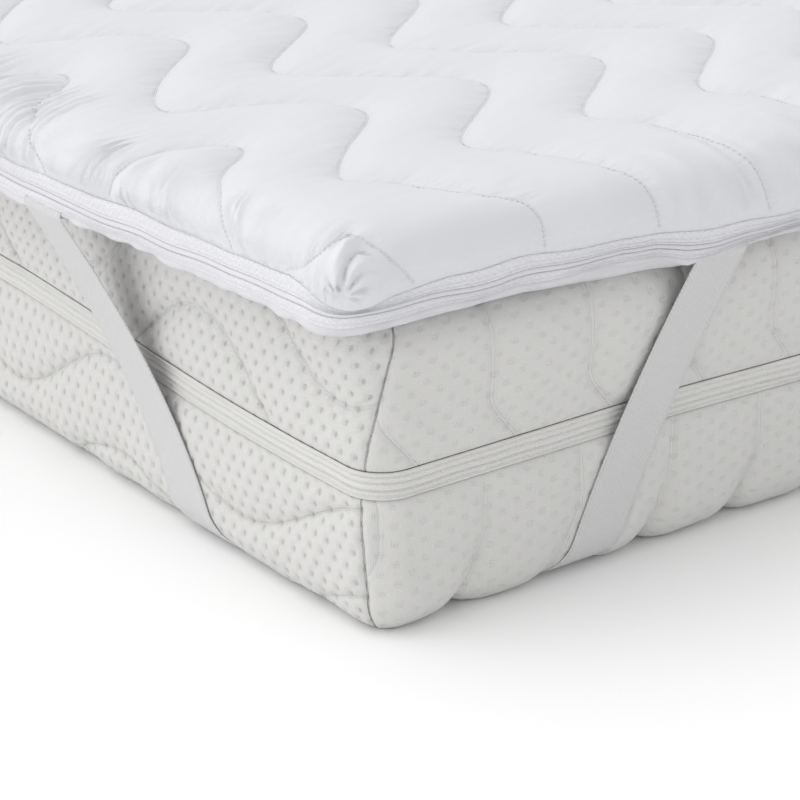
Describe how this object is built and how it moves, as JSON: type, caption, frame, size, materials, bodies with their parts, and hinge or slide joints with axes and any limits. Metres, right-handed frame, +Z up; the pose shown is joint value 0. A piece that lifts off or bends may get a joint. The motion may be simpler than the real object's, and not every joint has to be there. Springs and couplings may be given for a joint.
{
  "type": "mattress topper on a mattress",
  "caption": "Thick quilted mattress topper with a zipped edge, held on a plain mattress by an elastic strap under each corner.",
  "frame": {"origin": "centre of the bounding box, on the floor under the mattress", "axes": "+Y along the bed, +X across it, +Z up"},
  "size_m": [0.9538, 2.0366, 0.3211],
  "materials": {
    "quilted_cover": "smooth white microfibre, wave quilted",
    "base_cloth": "plain white woven cloth",
    "zip_tape": "ribbed white zip tape",
    "zip_coil": "white nylon coil",
    "elastic": "flat woven white elastic",
    "knit_cover": "off-white dimpled double knit",
    "mattress_zip": "ribbed off-white zip band"
  },
  "bodies": {
    "root": {"topper_cover": "quilted_cover", "topper_base": "base_cloth", "zip_tape_upper": "zip_tape", "zip_coil": "zip_coil", "zip_tape_lower": "zip_tape", "strap_front_left": "elastic", "strap_front_right": "elastic", "strap_back_left": "elastic", "strap_back_right": "elastic", "mattress_upper": "knit_cover", "mattress_lower": "knit_cover", "mattress_zip": "mattress_zip"}
  },
  "joints": []
}
